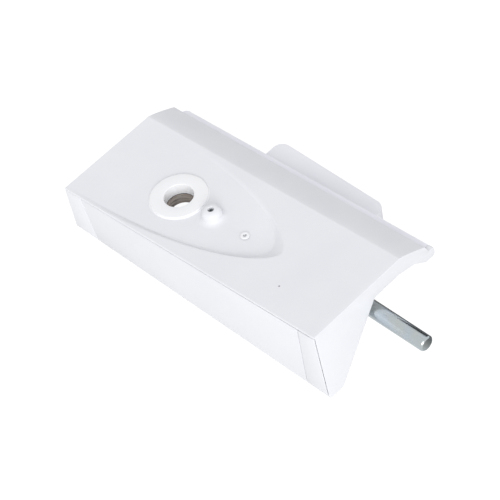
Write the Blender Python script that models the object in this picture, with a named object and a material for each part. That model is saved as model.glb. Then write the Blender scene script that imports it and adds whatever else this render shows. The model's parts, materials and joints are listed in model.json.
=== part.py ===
"""Crank-driven sash bolt unit.

A sloping moulded case stands on a mounting block.  A crank key goes into the threaded bush in the
case's boss and turns a pinion, and the pinion drives a rack and a steel rod along +X.

Axes: X runs along the rod to its free end, Y from the front skirt to the back, Z up.
The origin is the centre of the mounting block's underside.  The case is drawn in a frame of its own,
whose x and y lie in the sloping top plate and whose z is square to it.
"""

import math

import bmesh
import bpy
from mathutils import Matrix, Vector

MM = 0.001

# Fits
TOUCH_GAP = 0.3 * MM        # between pieces that rest on each other or are pressed together
RUN_GAP = 0.3 * MM          # round a shaft that turns or slides
CUT_OVER = 2.0 * MM         # how far a cutter passes the face it opens

# Case: the sloping top plate
CASE_LENGTH = 165.0 * MM
CASE_TILT = math.radians(5.07)
CASE_LEFT_HEIGHT = 28.65 * MM   # top plate above the base plane at the left end
PLATE_DEPTH = 57.7 * MM         # the flat part, front to back
PLATE_WALL = 3.2 * MM
SHOULDER_RUN = 15.9 * MM        # rear shoulder, from the flat part to the lip's top edge
SHOULDER_DROP = 6.9 * MM
SHOULDER_POWER = 1.2            # how the shoulder steepens towards the lip
SHOULDER_STEPS = 6
LIP_RUN = 2.3 * MM
LIP_DROP = 4.7 * MM
LIP_WALL = 2.9 * MM
FRONT_LIP = 0.8 * MM            # edge of the top plate that shows above the skirt
EDGE_BREAK = 0.35 * MM          # small chamfer along the plate's front edge

# Case: end walls
END_WALL = 3.0 * MM
END_RIM = 9.0 * MM              # depth of the rim under the plate
END_SETBACK = 0.6 * MM          # front edge of the end wall behind the skirt's face
GUSSET_TOP_RUN = PLATE_DEPTH / 2 + 10.05 * MM    # where the slanting back edge meets the rim
GUSSET_ANGLE = math.radians(49.6)
GUSSET_ROUND = 4.0 * MM
TOE_ROUND = 2.2 * MM
HOOK_DROP = 4.9 * MM            # how far the rim's rear end hangs below the lip
HOOK_RUN = 3.3 * MM

# Skirt pieces
SKIRT_WALL = 2.5 * MM
SKIRT_LIFT = 2.45 * MM          # bottom edge above the base plane
GROOVE_LEFT = 0.4 * MM          # gap between plate and skirt at the left end
GROOVE_RIGHT = 0.9 * MM         # the same at the right end
JOINT_GAP = 0.4 * MM            # between neighbouring skirt pieces
LEFT_JOINT_TOP = 11.2 * MM
LEFT_JOINT_BOTTOM = 15.0 * MM
RIGHT_JOINT_TOP = 10.7 * MM     # these two are measured from the right end
RIGHT_JOINT_BOTTOM = 13.3 * MM
SKIRT_END_GAP = 0.5 * MM
SKIRT_TAB_DEPTH = 5.0 * MM      # tab on the back of each skirt piece, below the plate
SKIRT_TAB_WALL = 1.8 * MM

# Recess in the top plate
RECESS_CENTRE_Y = PLATE_DEPTH / 2 + 0.05 * MM
RECESS_NOSE_X = 117.3 * MM
RECESS_HALF_WIDTH = PLATE_DEPTH / 2 + 0.35 * MM
RECESS_FLOOR_NOSE_X = 109.7 * MM
RECESS_FLOOR_HALF_WIDTH = PLATE_DEPTH / 2 - 2.75 * MM
RECESS_POWER = 2.2
RECESS_TAPER = 0.62
RECESS_FLOOR_TAPER = 0.50
RECESS_NOSE_DEPTH = 2.0 * MM
RECESS_LEFT_DEPTH = 0.06 * MM
RECESS_STEPS = 28

# Boss and its bore
BOSS_X = 50.7 * MM
BOSS_Y = PLATE_DEPTH / 2 - 0.75 * MM
BOSS_RADIUS = 14.25 * MM
BOSS_RISE = 1.0 * MM            # above the recess floor
KEY_CLEARANCE = 0.1 * MM        # the key's thread passes through the plain bore
BORE_LENGTH = 6.2 * MM          # plain bore, from the boss top to the bush
BORE_CHAMFER = 0.3 * MM

# Dome with the adjusting screw, and the eyelet
DOME_X = 73.0 * MM
DOME_Y = PLATE_DEPTH / 2 - 0.65 * MM
DOME_RADIUS = 4.9 * MM
DOME_HEIGHT = 5.2 * MM
DOME_FLARE = 1.6 * MM
DOME_FOOT_SHARE = 0.2           # of the height, taken by the flared foot
DOME_FULLNESS = 0.5             # below 1 the sides are steeper and the top flatter
PINHOLE_RADIUS = 1.5 * MM
ADJUSTER_DEPTH = 1.2 * MM
ADJUSTER_LENGTH = 4.5 * MM
ADJUSTER_SLOT = 0.5 * MM
EYELET_X = 94.2 * MM
EYELET_Y = PLATE_DEPTH / 2 - 0.65 * MM
EYELET_RADIUS = 2.3 * MM
EYELET_RISE = 0.6 * MM
EYELET_SHANK_RADIUS = 1.5 * MM
EYELET_HOLE_RADIUS = 1.0 * MM
VENT_X = 130.2 * MM
VENT_Y = 13.9 * MM
VENT_RADIUS = 0.5 * MM
VENT_DEPTH = 1.2 * MM

# Rear strip
STRIP_START = 1.4 * MM
STRIP_THICKNESS = 3.1 * MM
STRIP_DEPTH = 10.0 * MM
STRIP_CORNER = 3.0 * MM
STRIP_EDGE = 1.3 * MM

# Crank bush with its thread
BUSH_LENGTH = 5.9 * MM
BUSH_WALL = 2.5 * MM            # from the thread's crest to the outside
THREAD_PITCH = 2.0 * MM
THREAD_DEPTH = 0.9 * MM
THREAD_CREST_RADIUS = 6.3 * MM
THREAD_FORM = ((0.0, 0.0), (0.3, 0.0), (0.6, 1.0), (0.7, 1.0))  # shares of the pitch and of the depth
THREAD_RUN_OUT = 0.1 * MM       # plain land under the bush's top face

# Pinion and rack
TOOTH_MODULE = 1.0 * MM
PINION_TEETH = 26
PINION_FACE = 3.5 * MM
BACKLASH = 0.3 * MM
PRESSURE_ANGLE = math.radians(20.0)
ADDENDUM = 1.0                  # in modules
DEDENDUM = 1.25
RACK_BODY = 3.2 * MM            # behind the tooth roots
RACK_HEIGHT = 5.0 * MM
RACK_END = 2.5 * MM             # plain bar beyond the first tooth
SPARE_TEETH = 4
BOLT_TRAVEL = 20.0 * MM
HEAD_CLEARANCE = 0.8 * MM       # between the pinion and the rack's head when the bolt is drawn back
HEAD_LENGTH = 11.5 * MM
HEAD_WALL = 1.5 * MM            # round the rod's socket
SOCKET_DEPTH = 8.0 * MM
WASHER_THICKNESS = 0.6 * MM
RACK_CLEARANCE = 0.4 * MM        # from its teeth to the round pieces above and below the pinion

# Bearing plate below the pinion
BEARING_WALL = 1.2 * MM
BEARING_EAR = 3.6 * MM          # end radius round each screw
PILLAR_RADIUS = 3.0 * MM
PILLAR_TO_PINION = 1.5 * MM
BEARING_SCREW_Y = -4.0 * MM     # from the boss's axis
SMALL_SCREW_RADIUS = 1.1 * MM
SMALL_HEAD_RADIUS = 2.3 * MM
SMALL_HEAD_HEIGHT = 1.5 * MM

# Rod
ROD_RADIUS = 4.0 * MM
ROD_HEIGHT = 24.5 * MM          # axis above the base plane
ROD_IN_FRONT = 2.4 * MM         # axis in front of the rack's pitch line
ROD_OVERHANG = 29.8 * MM        # beyond the case's right end
ROD_CHAMFER = 0.6 * MM
PIN_RADIUS = 1.25 * MM
PIN_RECESS = 0.6 * MM
COLLAR_WALL = 2.7 * MM
COLLAR_WIDTH = 3.0 * MM
COLLAR_TO_HEAD = 0.75 * MM
CLIP_WALL = 2.2 * MM
CLIP_WIDTH = 1.0 * MM

# Mounting block with the rod's two lugs
BLOCK_LEFT = 53.8 * MM
BLOCK_TOP = 16.45 * MM
BLOCK_FRONT = 31.0 * MM
BLOCK_OVERHANG = 13.9 * MM      # beyond the rear strip
BLOCK_CORNER = 5.5 * MM
LUG_WIDTH = 6.0 * MM
LUG_WALL = 3.2 * MM             # round the guide bush
LUG_TOP_WALL = 1.6 * MM
LUG_SPACING = 14.6 * MM
GUIDE_WALL = 1.5 * MM
FLANGE_TO_BLOCK = 0.65 * MM
GUIDE_FLANGE_WIDTH = 1.0 * MM
PAD_WALL = 3.0 * MM             # rack guide, behind the rack
PAD_LEFT_OVERHANG = 12.0 * MM

# Case screws, up through the block
SCREW_RADIUS = 1.5 * MM
SCREW_HEAD_RADIUS = 2.9 * MM
SCREW_HEAD_HEIGHT = 2.0 * MM
SCREW_BITE = 6.0 * MM
SCREW_INSET_X = 7.0 * MM
PILLAR_CLEARANCE = 0.6 * MM     # between a pillar and the rack guide or the rear strip
COUNTERBORE_DEPTH = 8.0 * MM
CASE_PILLAR_RADIUS = 3.4 * MM

ROUND_STEPS = 48
SMALL_STEPS = 24

# Values that follow from the sizes above
sin_tilt = math.sin(CASE_TILT)
cos_tilt = math.cos(CASE_TILT)
lip_edge_y = PLATE_DEPTH + SHOULDER_RUN + LIP_RUN
lip_bottom = -SHOULDER_DROP - LIP_DROP
rack_pitch_radius = TOOTH_MODULE * PINION_TEETH / 2
rack_line_y = BOSS_Y + rack_pitch_radius
rod_y = rack_line_y - ROD_IN_FRONT
tooth_pitch = math.pi * TOOTH_MODULE
strip_rear_y = lip_edge_y + HOOK_RUN
strip_front_y = strip_rear_y - STRIP_DEPTH
block_rear_y = strip_rear_y + BLOCK_OVERHANG
rod_hole_radius = ROD_RADIUS + RUN_GAP
lug_hole_radius = rod_hole_radius + GUIDE_WALL + TOUCH_GAP
flange_radius = ROD_HEIGHT - BLOCK_TOP - FLANGE_TO_BLOCK


def recess_depth(x):
    """Depth of the recess floor below the plate: it grows evenly from the left end to the nose."""
    return RECESS_LEFT_DEPTH + (RECESS_NOSE_DEPTH - RECESS_LEFT_DEPTH) * x / RECESS_NOSE_X


def base_in_case(x, height):
    """Case-frame z of the point at this x that lies at this height above the base plane."""
    return (height - CASE_LEFT_HEIGHT - x * sin_tilt) / cos_tilt


def case_to_block(x, z):
    """(x, z) in the block's axes of a point in the case's axes."""
    return x * cos_tilt - z * sin_tilt, x * sin_tilt + z * cos_tilt + CASE_LEFT_HEIGHT


bore_radius = THREAD_CREST_RADIUS + THREAD_DEPTH + KEY_CLEARANCE
boss_top = BOSS_RISE - recess_depth(BOSS_X)
bush_top = boss_top - BORE_LENGTH - TOUCH_GAP
bush_bottom = bush_top - BUSH_LENGTH
bush_outer = THREAD_CREST_RADIUS + BUSH_WALL
pinion_bore = bush_outer + TOUCH_GAP
pinion_outer = rack_pitch_radius + ADDENDUM * TOOTH_MODULE
clear_radius = rack_pitch_radius - ADDENDUM * TOOTH_MODULE - RACK_CLEARANCE
sleeve_bottom = bush_top + TOUCH_GAP
washer_top = sleeve_bottom
washer_bottom = washer_top - WASHER_THICKNESS
pinion_top = washer_bottom - TOUCH_GAP
pinion_bottom = pinion_top - PINION_FACE
bearing_top = pinion_bottom - RUN_GAP
bearing_bottom = bearing_top - BEARING_WALL

# Along the rod: pinion, rack head when drawn back, then its travel, stop collar and the block's two lugs
mesh_x = case_to_block(BOSS_X, (pinion_top + pinion_bottom) / 2)[0]
head_left = mesh_x + pinion_outer + HEAD_CLEARANCE + BOLT_TRAVEL
head_right = head_left + HEAD_LENGTH
collar_left = head_right + COLLAR_TO_HEAD
collar_right = collar_left + COLLAR_WIDTH
inner_lug_right = collar_right + TOUCH_GAP + LUG_WIDTH
block_right = inner_lug_right + LUG_SPACING
lug_rights = (block_right, inner_lug_right)

# Start from an empty scene
for old in list(bpy.data.objects):
    bpy.data.objects.remove(old, do_unlink=True)


def material(name, colour, roughness, metallic):
    made = bpy.data.materials.new(name)
    made.use_nodes = True
    shader = made.node_tree.nodes["Principled BSDF"]
    shader.inputs["Base Color"].default_value = (*colour, 1.0)
    shader.inputs["Roughness"].default_value = roughness
    shader.inputs["Metallic"].default_value = metallic
    return made


def empty(name, parent=None, location=(0, 0, 0), rotation=(0, 0, 0)):
    made = bpy.data.objects.new(name, None)
    bpy.context.scene.collection.objects.link(made)
    made.parent = parent
    made.location = location
    made.rotation_euler = rotation
    return made


def add_object(name, mesh_builder, parent, surface=None, location=(0, 0, 0), rotation=(0, 0, 0)):
    """Links the bmesh as an object.  With no surface it is a cutter or a piece to be merged."""
    bmesh.ops.recalc_face_normals(mesh_builder, faces=mesh_builder.faces[:])
    mesh = bpy.data.meshes.new(name)
    mesh_builder.to_mesh(mesh)
    mesh_builder.free()
    made = bpy.data.objects.new(name, mesh)
    bpy.context.scene.collection.objects.link(made)
    made.parent = parent
    made.location = location
    made.rotation_euler = rotation
    if surface is None:
        made.hide_render = True
        made.display_type = "WIRE"
    else:
        mesh.materials.append(surface)
    return made


def boolean(target, other, operation):
    """The exact solver can leave a piece open where two faces lie in one plane; MANIFOLD keeps it closed."""
    step = target.modifiers.new(f"{operation.lower()}_{other.name}", "BOOLEAN")
    step.operation = operation
    step.solver = "MANIFOLD" if target.name in ("housing_shell", "bearing_plate") else "EXACT"
    step.object = other


def smooth(target, angle=35.0):
    target.data.shade_smooth()
    target.data.set_sharp_from_angle(angle=math.radians(angle))


def prism(outline, axis, low, high):
    """A closed prism.  The outline's pairs are (y, z) along X, (x, z) along Y and (x, y) along Z."""
    place = {
        "X": lambda pair, along: (along, pair[0], pair[1]),
        "Y": lambda pair, along: (pair[0], along, pair[1]),
        "Z": lambda pair, along: (pair[0], pair[1], along),
    }[axis]
    built = bmesh.new()
    rings = []
    for along in (low, high):
        rings.append([built.verts.new(place(pair, along)) for pair in outline])
    built.faces.new(rings[0])
    built.faces.new(rings[1])
    count = len(outline)
    for i in range(count):
        j = (i + 1) % count
        built.faces.new((rings[0][i], rings[0][j], rings[1][j], rings[1][i]))
    return built


def turned(profile, steps, axis="Z"):
    """A solid of revolution.  The profile of (radius, height) is a closed loop or runs from axis to axis."""
    built = bmesh.new()
    solid_core = profile[0][0] == 0
    columns = []
    for radius, height in profile:
        if radius == 0:
            columns.append([built.verts.new((0, 0, height))])
            continue
        ring = []
        for i in range(steps):
            angle = 2 * math.pi * i / steps
            ring.append(built.verts.new((radius * math.cos(angle), radius * math.sin(angle), height)))
        columns.append(ring)
    pairs = list(zip(columns, columns[1:]))
    if not solid_core:
        pairs.append((columns[-1], columns[0]))
    for first, second in pairs:
        for i in range(steps):
            j = (i + 1) % steps
            corners = [first[i % len(first)], first[j % len(first)]]
            corners += [second[j % len(second)], second[i % len(second)]]
            corners = list(dict.fromkeys(corners))
            if len(corners) > 2:
                built.faces.new(corners)
    if axis == "X":
        bmesh.ops.rotate(built, verts=built.verts[:], matrix=Matrix.Rotation(math.pi / 2, 3, "Y"))
    return built


def cylinder(radius, low, high, steps=SMALL_STEPS, axis="Z"):
    return turned([(0, low), (radius, low), (radius, high), (0, high)], steps, axis)


def tube(inner, outer, low, high, steps=ROUND_STEPS, axis="Z"):
    return turned([(outer, low), (outer, high), (inner, high), (inner, low)], steps, axis)


def rounded(corners, radii, steps=5):
    """The outline with each corner replaced by an arc of its own radius; radius 0 keeps it sharp."""
    points = []
    count = len(corners)
    for i in range(count):
        here = Vector(corners[i])
        before = (Vector(corners[i - 1]) - here).normalized()
        after = (Vector(corners[(i + 1) % count]) - here).normalized()
        if radii[i] == 0:
            points.append(tuple(here))
            continue
        half = before.angle(after) / 2
        reach = radii[i] / math.tan(half)
        centre = here + (before + after).normalized() * (radii[i] / math.sin(half))
        start = here + before * reach - centre
        sweep = start.angle_signed(here + after * reach - centre)
        for k in range(steps + 1):
            turn = Matrix.Rotation(-sweep * k / steps, 2)
            points.append(tuple(centre + turn @ start))
    return points


WHITE = material("white_plastic", (0.80, 0.80, 0.83), 0.38, 0.0)
ACETAL = material("white_acetal", (0.78, 0.78, 0.76), 0.30, 0.0)
ZINC = material("zinc_plate", (0.47, 0.52, 0.55), 0.28, 0.9)
STEEL = material("plain_steel", (0.36, 0.36, 0.36), 0.38, 0.95)

unit = empty("unit_frame", location=(-(BLOCK_LEFT + block_right) / 2, -(BLOCK_FRONT + block_rear_y) / 2, 0))
case = empty("case_frame", unit, (0, 0, CASE_LEFT_HEIGHT), (0, -CASE_TILT, 0))


# ---------------------------------------------------------------- case shell
def shoulder(steps, offset=0.0):
    """Points down the rear shoulder: it leaves the plate level and steepens evenly to the lip."""
    points = []
    for k in range(steps + 1):
        t = k / steps
        drop = SHOULDER_DROP * t ** SHOULDER_POWER
        slope = SHOULDER_POWER * SHOULDER_DROP / SHOULDER_RUN * t ** (SHOULDER_POWER - 1)
        length = math.hypot(1, slope)
        y = PLATE_DEPTH + SHOULDER_RUN * t - offset * slope / length
        points.append((y, -drop - offset / length))
    return points


top_line = shoulder(SHOULDER_STEPS)
under_line = shoulder(SHOULDER_STEPS, PLATE_WALL)
shell_section = [(EDGE_BREAK, 0)] + top_line
shell_section += [(lip_edge_y, lip_bottom), (lip_edge_y - LIP_WALL, lip_bottom)]
shell_section += under_line[::-1]
shell_section += [(SKIRT_WALL + TOUCH_GAP, -PLATE_WALL), (SKIRT_WALL + TOUCH_GAP, -FRONT_LIP)]
shell_section += [(0, -FRONT_LIP), (0, -EDGE_BREAK)]
shell = add_object("housing_shell", prism(shell_section, "X", 0, CASE_LENGTH), case, WHITE)


def end_wall_section(x, hooked):
    """Outline of an end wall: a rim under the plate, a slanting gusset in front, a hook behind or none."""
    toe = base_in_case(x, 0)
    slant_run = (-END_RIM - toe) / math.tan(GUSSET_ANGLE)
    toe_back = max(GUSSET_TOP_RUN - slant_run, END_SETBACK + 2.2 * TOE_ROUND)
    corners = [(0, 0)] + top_line + [(lip_edge_y, lip_bottom)]
    radii = [0] * len(corners)
    rim_end = lip_bottom
    if hooked:
        rim_end = lip_bottom - HOOK_DROP
        corners += [(strip_rear_y, lip_bottom), (strip_rear_y, rim_end)]
        radii += [0, STRIP_EDGE]
    corners += [(lip_edge_y - LIP_WALL, rim_end), (PLATE_DEPTH, -END_RIM), (GUSSET_TOP_RUN, -END_RIM)]
    radii += [0, 0, GUSSET_ROUND]
    corners += [(toe_back, toe), (END_SETBACK, toe), (END_SETBACK, -FRONT_LIP), (0, -FRONT_LIP)]
    radii += [TOE_ROUND, TOE_ROUND, 0, 0]
    return rounded(corners, radii)


end_walls = [
    ("left", prism(end_wall_section(0, False), "X", 0, END_WALL)),
    ("right", prism(end_wall_section(CASE_LENGTH, True), "X", CASE_LENGTH - END_WALL, CASE_LENGTH)),
]
for side, blank in end_walls:
    boolean(shell, add_object(f"end_wall_{side}", blank, case), "UNION")


def recess_outline(nose_x, half_width, taper):
    """Half an oval on its long axis: half_width * (1 - (x / nose_x)^RECESS_POWER)^taper each side."""
    points = []
    for k in range(-RECESS_STEPS, RECESS_STEPS + 1):
        x = nose_x * math.cos(math.pi / 2 * k / RECESS_STEPS)
        y = half_width * (1 - min(x / nose_x, 1) ** RECESS_POWER) ** taper
        points.append((x, RECESS_CENTRE_Y + math.copysign(y, k)))
    return points


def recess_cutter():
    """Three rings: above the plate, on its surface, and on the sunk floor."""
    outer = recess_outline(RECESS_NOSE_X, RECESS_HALF_WIDTH, RECESS_TAPER)
    inner = recess_outline(RECESS_FLOOR_NOSE_X, RECESS_FLOOR_HALF_WIDTH, RECESS_FLOOR_TAPER)
    before = -CUT_OVER
    outer = [(before, outer[0][1])] + outer + [(before, outer[-1][1])]
    inner = [(before, inner[0][1])] + inner + [(before, inner[-1][1])]
    built = bmesh.new()
    rings = [
        [built.verts.new((x, y, CUT_OVER)) for x, y in outer],
        [built.verts.new((x, y, 0)) for x, y in outer],
        [built.verts.new((x, y, -recess_depth(max(x, 0)))) for x, y in inner],
    ]
    built.faces.new(rings[0])
    count = len(outer)
    for upper, lower in zip(rings, rings[1:]):
        for i in range(count):
            j = (i + 1) % count
            built.faces.new((upper[i], upper[j], lower[j], lower[i]))
    half = count // 2
    for i in range(half):
        j = count - 1 - i
        floor = [rings[2][i], rings[2][i + 1], rings[2][j - 1], rings[2][j]]
        floor = list(dict.fromkeys(floor))
        if len(floor) > 2:
            built.faces.new(floor)
    return built


boolean(shell, add_object("recess_cutter", recess_cutter(), case), "DIFFERENCE")

# Boss with the sleeve below the plate
boss_profile = [
    (0, sleeve_bottom),
    (clear_radius, sleeve_bottom),
    (clear_radius, -PLATE_WALL / 2),
    (BOSS_RADIUS, -PLATE_WALL / 2),
    (BOSS_RADIUS, boss_top - BORE_CHAMFER),
    (BOSS_RADIUS - BORE_CHAMFER, boss_top),
    (0, boss_top),
]
boss = add_object("boss_blank", turned(boss_profile, ROUND_STEPS), case, location=(BOSS_X, BOSS_Y, 0))
boolean(shell, boss, "UNION")

# Dome: a full rounded cone on a flared foot
dome_floor = -recess_depth(DOME_X)
dome_profile = [(0, -PLATE_WALL * 0.7), (DOME_RADIUS + DOME_FLARE, -PLATE_WALL * 0.7)]
dome_profile.append((DOME_RADIUS + DOME_FLARE, dome_floor))
for k in range(1, 6):
    angle = math.pi / 2 * k / 6
    r = DOME_RADIUS + DOME_FLARE * (1 - math.sin(angle))
    dome_profile.append((r, dome_floor + DOME_HEIGHT * DOME_FOOT_SHARE * (1 - math.cos(angle))))
for k in range(1, 8):
    angle = math.pi / 2 * k / 8
    r = DOME_RADIUS * math.cos(angle) ** DOME_FULLNESS
    share = DOME_FOOT_SHARE + (1 - DOME_FOOT_SHARE) * math.sin(angle)
    dome_profile.append((r, dome_floor + DOME_HEIGHT * share))
dome_profile.append((0, dome_floor + DOME_HEIGHT))
dome = add_object("dome_blank", turned(dome_profile, ROUND_STEPS), case, location=(DOME_X, DOME_Y, 0))
boolean(shell, dome, "UNION")

# Pillars for the bearing plate, square to the top plate
bearing_screw_x = pinion_outer + PILLAR_TO_PINION + PILLAR_RADIUS
bearing_screws = [(BOSS_X + sign * bearing_screw_x, BOSS_Y + BEARING_SCREW_Y) for sign in (-1, 1)]
for number, (x, y) in enumerate(bearing_screws, 1):
    blank = cylinder(PILLAR_RADIUS, bearing_top + TOUCH_GAP, -PLATE_WALL * 0.8)
    boolean(shell, add_object(f"bearing_pillar_{number}", blank, case, location=(x, y, 0)), "UNION")

# Pillars for the case screws, upright on the block
pad_front_y = rack_line_y + DEDENDUM * TOOTH_MODULE + RACK_BODY + RUN_GAP
screw_rows = [pad_front_y + PAD_WALL + PILLAR_CLEARANCE + CASE_PILLAR_RADIUS]
screw_rows.append(strip_front_y - PILLAR_CLEARANCE - CASE_PILLAR_RADIUS)
case_screws = [(x, y) for x in (BLOCK_LEFT + SCREW_INSET_X, block_right - SCREW_INSET_X) for y in screw_rows]


def case_underside_height(x, y):
    """Height above the base plane of the plate's middle over a point of the block."""
    beyond = max(0.0, y - PLATE_DEPTH) / SHOULDER_RUN
    drop = SHOULDER_DROP * beyond ** SHOULDER_POWER
    return CASE_LEFT_HEIGHT + x * math.tan(CASE_TILT) - (PLATE_WALL * 0.7 + drop) / cos_tilt


for number, (x, y) in enumerate(case_screws, 1):
    top = case_underside_height(x, y)
    blank = cylinder(CASE_PILLAR_RADIUS, BLOCK_TOP + TOUCH_GAP, top)
    boolean(shell, add_object(f"case_pillar_{number}", blank, unit, location=(x, y, 0)), "UNION")

# Holes in the shell
bore_profile = [
    (0, sleeve_bottom - CUT_OVER),
    (bore_radius, sleeve_bottom - CUT_OVER),
    (bore_radius, boss_top - BORE_CHAMFER),
    (bore_radius + BORE_CHAMFER, boss_top),
    (bore_radius + BORE_CHAMFER, boss_top + CUT_OVER),
    (0, boss_top + CUT_OVER),
]
bore = add_object("bore_cutter", turned(bore_profile, ROUND_STEPS), case, location=(BOSS_X, BOSS_Y, 0))
boolean(shell, bore, "DIFFERENCE")
dome_top = dome_floor + DOME_HEIGHT
eyelet_floor = -recess_depth(EYELET_X)
round_cuts = [
    ("pinhole", PINHOLE_RADIUS, DOME_X, DOME_Y, -PLATE_WALL - CUT_OVER, dome_top + CUT_OVER),
    ("eyelet_hole", EYELET_SHANK_RADIUS + TOUCH_GAP, EYELET_X, EYELET_Y, -PLATE_WALL - CUT_OVER, CUT_OVER),
    ("vent", VENT_RADIUS, VENT_X, VENT_Y, -VENT_DEPTH, CUT_OVER),
]
small_hole_radius = SMALL_SCREW_RADIUS + TOUCH_GAP
pilot_low = bearing_top - CUT_OVER
pilot_high = -PLATE_WALL - TOUCH_GAP
for number, (x, y) in enumerate(bearing_screws, 1):
    round_cuts.append((f"bearing_pilot_{number}", small_hole_radius, x, y, pilot_low, pilot_high))
for name, radius, x, y, low, high in round_cuts:
    cut = add_object(f"{name}_cutter", cylinder(radius, low, high), case, location=(x, y, 0))
    boolean(shell, cut, "DIFFERENCE")
for number, (x, y) in enumerate(case_screws, 1):
    pilot = cylinder(SCREW_RADIUS + TOUCH_GAP, BLOCK_TOP - CUT_OVER, BLOCK_TOP + SCREW_BITE + TOUCH_GAP * 2)
    cut = add_object(f"case_pilot_{number}", pilot, unit, location=(x, y, 0))
    boolean(shell, cut, "DIFFERENCE")

# ---------------------------------------------------------------- skirt pieces
def skirt_top(x):
    return -FRONT_LIP - GROOVE_LEFT - (GROOVE_RIGHT - GROOVE_LEFT) * x / CASE_LENGTH


def skirt_piece(name, top_left, top_right, bottom_left, bottom_right):
    """A flat front wall with a tab along its back, just under the plate."""
    outline = [
        (top_left, skirt_top(top_left)),
        (top_right, skirt_top(top_right)),
        (bottom_right, base_in_case(bottom_right, SKIRT_LIFT)),
        (bottom_left, base_in_case(bottom_left, SKIRT_LIFT)),
    ]
    wall = add_object(name, prism(outline, "Y", 0, SKIRT_WALL), case, WHITE)
    inset = END_WALL + TOUCH_GAP
    tab_left = max(top_left + TOUCH_GAP, inset)
    tab_right = min(top_right - SKIRT_TAB_WALL, CASE_LENGTH - inset)
    tab_top = -PLATE_WALL - TOUCH_GAP
    tab_bottom = tab_top - SKIRT_TAB_WALL
    tab_front = SKIRT_WALL / 2
    tab_rear = SKIRT_WALL + SKIRT_TAB_DEPTH
    tab = [(tab_front, tab_top), (tab_rear, tab_top), (tab_rear, tab_bottom), (tab_front, tab_bottom)]
    boolean(wall, add_object(f"{name}_tab", prism(tab, "X", tab_left, tab_right), case), "UNION")
    return wall


right_end = CASE_LENGTH - SKIRT_END_GAP
right_top = CASE_LENGTH - RIGHT_JOINT_TOP
right_bottom = CASE_LENGTH - RIGHT_JOINT_BOTTOM
skirt_piece("skirt_corner_left", 0, LEFT_JOINT_TOP - JOINT_GAP, 0, LEFT_JOINT_BOTTOM - JOINT_GAP)
skirt_piece("front_skirt", LEFT_JOINT_TOP, right_top - JOINT_GAP, LEFT_JOINT_BOTTOM, right_bottom - JOINT_GAP)
skirt_piece("skirt_corner_right", right_top, right_end, right_bottom, right_end)

# End walls must not run into the skirt pieces
rebate_back = SKIRT_WALL + TOUCH_GAP
rebate_low = -2 * CASE_LENGTH
rebate = [(-CUT_OVER, -FRONT_LIP), (rebate_back, -FRONT_LIP)]
rebate += [(rebate_back, rebate_low), (-CUT_OVER, rebate_low)]
rebates = [
    ("left", -CUT_OVER, END_WALL + CUT_OVER),
    ("right", CASE_LENGTH - END_WALL - CUT_OVER, right_end + TOUCH_GAP),
]
for side, low, high in rebates:
    cut = add_object(f"skirt_rebate_{side}", prism(rebate, "X", low, high), case)
    boolean(shell, cut, "DIFFERENCE")

# ---------------------------------------------------------------- rear strip
strip_top = lip_bottom - TOUCH_GAP
strip_end = CASE_LENGTH - END_WALL - TOUCH_GAP
def rectangle(x_low, x_high, y_low, y_high):
    return [(x_low, y_low), (x_high, y_low), (x_high, y_high), (x_low, y_high)]


strip_corners = rectangle(STRIP_START, strip_end, strip_front_y, strip_rear_y)
strip_plan = rounded(strip_corners, [0, 0, 0, STRIP_CORNER])
strip = add_object("rear_strip", prism(strip_plan, "Z", strip_top - STRIP_THICKNESS, strip_top), case, WHITE)

# ---------------------------------------------------------------- mounting block
block_corners = rectangle(BLOCK_LEFT, block_right, BLOCK_FRONT, block_rear_y)
block_plan = rounded(block_corners, [BLOCK_CORNER] * 4, 6)
block = add_object("mounting_block", prism(block_plan, "Z", 0, BLOCK_TOP), unit, WHITE)
lug_top = ROD_HEIGHT + lug_hole_radius + LUG_TOP_WALL
lug_half = lug_hole_radius + LUG_WALL
lug_corners = rectangle(rod_y - lug_half, rod_y + lug_half, BLOCK_TOP - CUT_OVER, lug_top)
lug_outline = rounded(lug_corners, [0, 0, LUG_WALL, LUG_WALL])
for number, right in enumerate(lug_rights, 1):
    lug = add_object(f"lug_{number}", prism(lug_outline, "X", right - LUG_WIDTH, right), unit)
    boolean(block, lug, "UNION")
lug_bore = cylinder(lug_hole_radius, collar_right - CUT_OVER, block_right + CUT_OVER, ROUND_STEPS, "X")
cut = add_object("lug_bore_cutter", lug_bore, unit, location=(0, rod_y, ROD_HEIGHT))
boolean(block, cut, "DIFFERENCE")
for number, (x, y) in enumerate(case_screws, 1):
    hole_profile = [
        (0, -CUT_OVER),
        (SCREW_HEAD_RADIUS + TOUCH_GAP, -CUT_OVER),
        (SCREW_HEAD_RADIUS + TOUCH_GAP, COUNTERBORE_DEPTH),
        (SCREW_RADIUS + TOUCH_GAP, COUNTERBORE_DEPTH),
        (SCREW_RADIUS + TOUCH_GAP, BLOCK_TOP + CUT_OVER),
        (0, BLOCK_TOP + CUT_OVER),
    ]
    blank = turned(hole_profile, SMALL_STEPS)
    hole = add_object(f"case_screw_hole_{number}", blank, unit, location=(x, y, 0))
    boolean(block, hole, "DIFFERENCE")
    head_bottom = COUNTERBORE_DEPTH - TOUCH_GAP - SCREW_HEAD_HEIGHT
    screw_profile = [
        (0, head_bottom),
        (SCREW_HEAD_RADIUS, head_bottom),
        (SCREW_HEAD_RADIUS, COUNTERBORE_DEPTH - TOUCH_GAP),
        (SCREW_RADIUS, COUNTERBORE_DEPTH - TOUCH_GAP),
        (SCREW_RADIUS, BLOCK_TOP + SCREW_BITE),
        (0, BLOCK_TOP + SCREW_BITE),
    ]
    screw = add_object(f"case_screw_{number}", turned(screw_profile, SMALL_STEPS), unit, ZINC, (x, y, 0))
    smooth(screw)

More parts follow.
